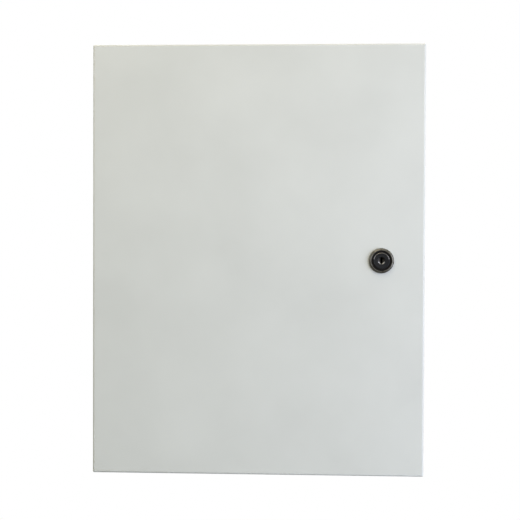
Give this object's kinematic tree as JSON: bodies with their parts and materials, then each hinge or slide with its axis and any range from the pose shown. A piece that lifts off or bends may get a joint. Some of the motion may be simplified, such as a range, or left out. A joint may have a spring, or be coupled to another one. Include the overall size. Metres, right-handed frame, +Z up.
{
  "type": "fire alarm control panel",
  "caption": "Wall-mounted grey steel control cabinet with a hinged full-size door and key cam lock; boards, operator panel, power supply and standby batteries inside.",
  "frame": {"origin": "centre of the four wall-fixing holes, on the back face", "axes": "+X to the right seen from the front, +Y into the wall, +Z up"},
  "size_m": [0.355, 0.1132, 0.46],
  "materials": {
    "coat": "fine satin powder coat, light grey",
    "door_coat": "fine satin powder coat, light grey",
    "zinc": "zinc-plated steel",
    "galvanised": "galvanised sheet",
    "bright_steel": "bright turned steel",
    "brass_plate": "plain brass",
    "green_yellow": "green and yellow insulation",
    "board_green": "circuit board with solder mask",
    "terminal_green": "moulded terminal housing",
    "relay_blue": "moulded relay case",
    "capacitor_sleeve": "shrunk sleeve with bare aluminium top",
    "sink_black": "black anodised aluminium",
    "black_plastic": "moulded black plastic",
    "clip_metal": "tinned spring bronze",
    "fuse_glass": "glass tube with nickel caps",
    "fascia_grey": "fine dark grey coat",
    "display_black": "black coated frame",
    "display_glass": "display window",
    "lamp_red": "tinted clear lens",
    "keypad_film": "printed polyester film",
    "ribbon_grey": "flat ribbon insulation",
    "button_yellow": "moulded cap",
    "button_grey": "moulded cap",
    "supply_metal": "bare aluminium sheet",
    "supply_board": "paper laminate board with parts",
    "mains_ivory": "moulded nylon",
    "mains_lead": "lead insulation",
    "supply_lead": "lead insulation",
    "battery_case": "moulded battery case",
    "tab_metal": "tinned tab",
    "sleeve_red": "insulating sleeve",
    "seal_foam": "foamed seal",
    "bezel_metal": "dark plated die casting",
    "plug_black": "black lacquered plug"
  },
  "bodies": {
    "cabinet": {"back_box": "coat", "hinge_brackets": "zinc", "hinge_pins": "bright_steel", "box_earth_point": "brass_plate", "door_earth_lead": "green_yellow", "chassis_studs": "zinc", "chassis_plate": "galvanised", "chassis_nuts": "zinc", "board_standoffs": "brass_plate", "main_board": "board_green", "machine_screws": "zinc", "terminal_blocks": "terminal_green", "terminal_screws": "bright_steel", "relays": "relay_blue", "capacitors": "capacitor_sleeve", "heat_sink": "sink_black", "chips": "black_plastic", "fuse_clips": "clip_metal", "glass_fuses": "fuse_glass", "sounder": "black_plastic", "panel_posts": "brass_plate", "operator_board": "board_green", "operator_fascia": "fascia_grey", "display_module": "display_black", "display_glass": "display_glass", "status_lamps": "lamp_red", "button_switches": "black_plastic", "keypad": "keypad_film", "ribbon_cable": "ribbon_grey", "ribbon_sockets": "black_plastic", "zone_card": "board_green", "power_supply_case": "supply_metal", "power_supply_cover": "supply_metal", "power_supply_board": "supply_board", "power_supply_terminals": "black_plastic", "mains_block": "mains_ivory", "mains_leads": "mains_lead", "supply_leads": "supply_lead", "battery_left": "battery_case", "battery_right": "battery_case", "battery_tabs": "tab_metal", "battery_stop": "coat", "battery_leads": "supply_lead", "tab_sleeves": "sleeve_red"},
    "door": {"door_panel": "door_coat", "door_hinge_leaves": "zinc", "door_seal": "seal_foam", "lock_barrel": "bezel_metal", "lock_nut": "zinc", "door_earth_point": "brass_plate"},
    "lock": {"lock_plug": "plug_black", "key_guide": "bright_steel", "lock_cam": "zinc", "cam_screw": "zinc"},
    "acknowledge": {"acknowledge_button": "button_yellow"},
    "silence": {"silence_button": "button_grey"},
    "reset": {"reset_button": "button_grey"},
    "test": {"test_button": "button_grey"}
  },
  "joints": [
    {"name": "door_hinge", "type": "hinge", "parent": "cabinet", "child": "door", "pos_m": [-0.1715, -0.104, 0], "axis": [0, 0, -1], "range_deg": [0, 110], "deforming": ["door_earth_lead"]},
    {"name": "lock_turn", "type": "hinge", "parent": "door", "child": "lock", "pos_m": [0.1315, -0.11, 0], "axis": [0, 1, 0], "range_deg": [0, 90]},
    {"name": "acknowledge_press", "type": "slide", "parent": "cabinet", "child": "acknowledge", "axis": [0, 1, 0], "range_m": [0, 0.001], "stiffness_N_per_m": 400, "springref_m": -0.001},
    {"name": "silence_press", "type": "slide", "parent": "cabinet", "child": "silence", "axis": [0, 1, 0], "range_m": [0, 0.001], "stiffness_N_per_m": 400, "springref_m": -0.001},
    {"name": "reset_press", "type": "slide", "parent": "cabinet", "child": "reset", "axis": [0, 1, 0], "range_m": [0, 0.001], "stiffness_N_per_m": 400, "springref_m": -0.001},
    {"name": "test_press", "type": "slide", "parent": "cabinet", "child": "test", "axis": [0, 1, 0], "range_m": [0, 0.001], "stiffness_N_per_m": 400, "springref_m": -0.001}
  ]
}
